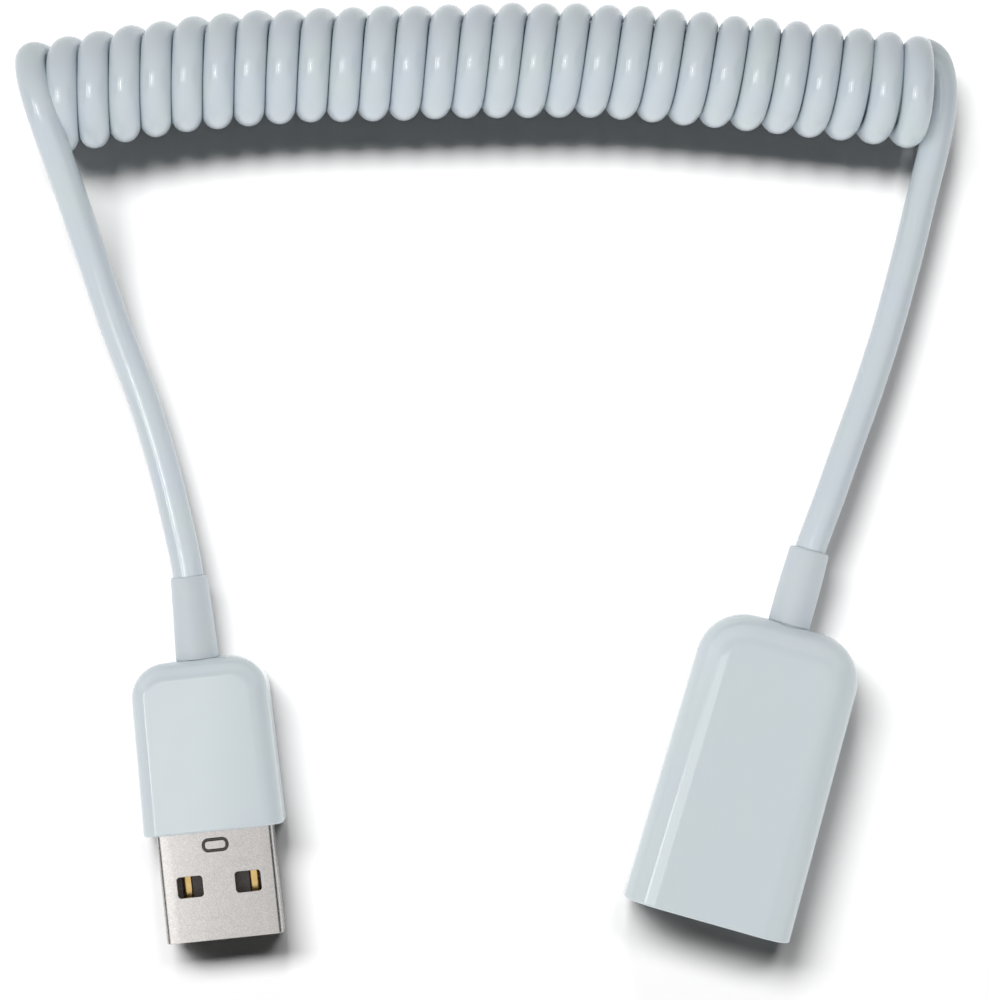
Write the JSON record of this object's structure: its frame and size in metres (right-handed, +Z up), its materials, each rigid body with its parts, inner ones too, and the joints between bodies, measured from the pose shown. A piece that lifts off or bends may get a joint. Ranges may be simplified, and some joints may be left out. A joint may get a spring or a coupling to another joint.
{
  "type": "coiled usb extension cable",
  "caption": "Coiled white extension lead lying flat, with a flat metal-shelled plug on one tail and a rounded socket on the other, used to lengthen a data and charging cable.",
  "frame": {"origin": "on the table, at the middle of the box round the plug and the socket", "axes": "+Z up from the table, +X from the plug to the socket, +Y from the connectors to the coil"},
  "size_m": [0.0962, 0.0969, 0.0117],
  "materials": {
    "white_gloss": "glossy moulded white",
    "soft_white": "satin soft white",
    "cord_jacket": "smooth satin white",
    "nickel_plate": "fine grained nickel",
    "gold_plate": "gold flash",
    "dark_insulator": "matte black",
    "inner_mould": "matte natural",
    "core_red": "matte red",
    "core_white": "matte white",
    "core_green": "matte green",
    "core_black": "matte black"
  },
  "bodies": {
    "root": {"coiled_cord": "cord_jacket", "plug_contact_data_minus": "gold_plate", "plug_contact_data_plus": "gold_plate", "plug_contact_ground": "gold_plate", "plug_contact_power": "gold_plate", "plug_cord_tail": "cord_jacket", "plug_housing": "white_gloss", "plug_inner_mould": "inner_mould", "plug_insulator": "dark_insulator", "plug_shell": "nickel_plate", "plug_strain_relief": "soft_white", "plug_wire_black": "core_black", "plug_wire_green": "core_green", "plug_wire_red": "core_red", "plug_wire_white": "core_white", "socket_contact_data_minus": "gold_plate", "socket_contact_data_plus": "gold_plate", "socket_contact_ground": "gold_plate", "socket_contact_power": "gold_plate", "socket_cord_tail": "cord_jacket", "socket_housing": "white_gloss", "socket_inner_mould": "inner_mould", "socket_insulator": "dark_insulator", "socket_shell": "nickel_plate", "socket_strain_relief": "soft_white", "socket_wire_black": "core_black", "socket_wire_green": "core_green", "socket_wire_red": "core_red", "socket_wire_white": "core_white"}
  },
  "joints": []
}
